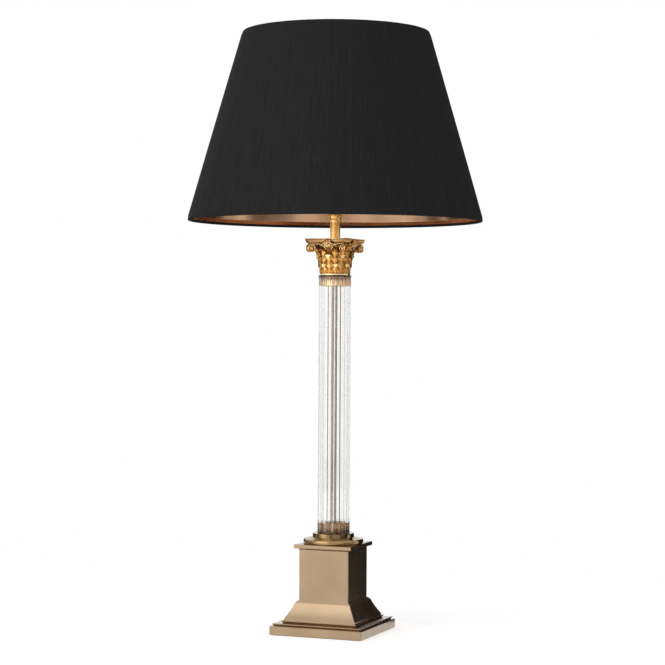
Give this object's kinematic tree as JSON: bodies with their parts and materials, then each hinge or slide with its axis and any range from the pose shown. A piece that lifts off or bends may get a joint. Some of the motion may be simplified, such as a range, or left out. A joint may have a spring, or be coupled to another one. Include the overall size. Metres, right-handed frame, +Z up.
{
  "type": "column table lamp",
  "caption": "Table lamp with a stepped square bronze pedestal, a fluted clear glass column, a gilt Corinthian capital and a black silk empire shade.",
  "frame": {"origin": "middle of the felt underside, where the lamp stands", "axes": "+Z up along the column, -Y the front, +X to the right"},
  "size_m": [0.4571, 0.4572, 0.9234],
  "materials": {
    "felt": "dense pressed wool felt",
    "bronze": "satin antique bronze plate under lacquer",
    "polished_bronze": "polished dark bronze plate",
    "bush": "moulded black nylon",
    "steel": "zinc plated",
    "iron": "as cast",
    "gasket": "soft moulded ring",
    "column_glass": "clear moulded flutes, fire polished",
    "sleeve_brass": "polished brass",
    "tube_bronze": "satin bronze",
    "dark_plate": "dark bronzed",
    "gilt": "cast, gilt and toned brown in the recesses",
    "gilt_brown": "cast, gilt and toned brown",
    "satin_gold": "satin gold plate",
    "holder_brass": "spun brass",
    "porcelain": "glazed porcelain",
    "switch_plastic": "moulded black phenolic",
    "carrier_brass": "brass plated wire",
    "bulb_cap_metal": "pressed",
    "bulb_opal": "opal white",
    "silk": "black slub silk",
    "lining": "bronze metallised laminate",
    "wire_white": "white coated wire"
  },
  "bodies": {
    "lamp_base": {"abacus": "gilt_brown", "base_weight": "iron", "bottom_nut": "steel", "bottom_washer": "steel", "capital_casting": "gilt", "cavetto_moulding": "bronze", "centre_contact": "holder_brass", "centre_tube": "tube_bronze", "column_base_disc": "polished_bronze", "column_seat_disc": "polished_bronze", "column_top_plate": "dark_plate", "cord_bush": "bush", "felt_pad": "felt", "fleurons": "gilt", "glass_column": "column_glass", "lampholder_cap": "holder_brass", "lampholder_core": "porcelain", "lampholder_skirt": "holder_brass", "lower_gasket": "gasket", "lower_sleeve": "sleeve_brass", "neck_collar": "satin_gold", "neck_tube": "satin_gold", "pedestal_cap": "bronze", "pedestal_die": "bronze", "plinth_slab": "bronze", "plinth_steps": "bronze", "screw_shell": "holder_brass", "shade_carrier": "carrier_brass", "threaded_rod": "steel", "upper_gasket": "gasket", "upper_sleeve": "sleeve_brass"},
    "shade": {"shade_cover": "silk", "shade_lining": "lining", "shade_top_ring": "wire_white", "shade_bottom_ring": "wire_white", "shade_spider": "carrier_brass"},
    "finial": {"finial": "satin_gold"},
    "bulb": {"bulb_cap": "bulb_cap_metal", "bulb_glass": "bulb_opal"},
    "switch_bar": {"switch_bar": "switch_plastic"},
    "shade_ring": {"shade_ring": "switch_plastic"}
  },
  "joints": [
    {"name": "shade_lift", "type": "slide", "parent": "lamp_base", "child": "shade", "axis": [0, 0, 1], "range_m": [0, 0.29]},
    {"name": "finial_turn", "type": "hinge", "parent": "shade", "child": "finial", "pos_m": [0, 0, 0.9], "axis": [0, 0, 1], "continuous": true},
    {"name": "bulb_turn", "type": "hinge", "parent": "lamp_base", "child": "bulb", "pos_m": [0, 0, 0.7], "axis": [0, 0, 1], "continuous": true},
    {"name": "shade_ring_turn", "type": "hinge", "parent": "lamp_base", "child": "shade_ring", "pos_m": [0, 0, 0.67], "axis": [0, 0, 1], "continuous": true},
    {"name": "switch_push", "type": "slide", "parent": "lamp_base", "child": "switch_bar", "axis": [1, 0, 0], "range_m": [0, 0.006]}
  ]
}
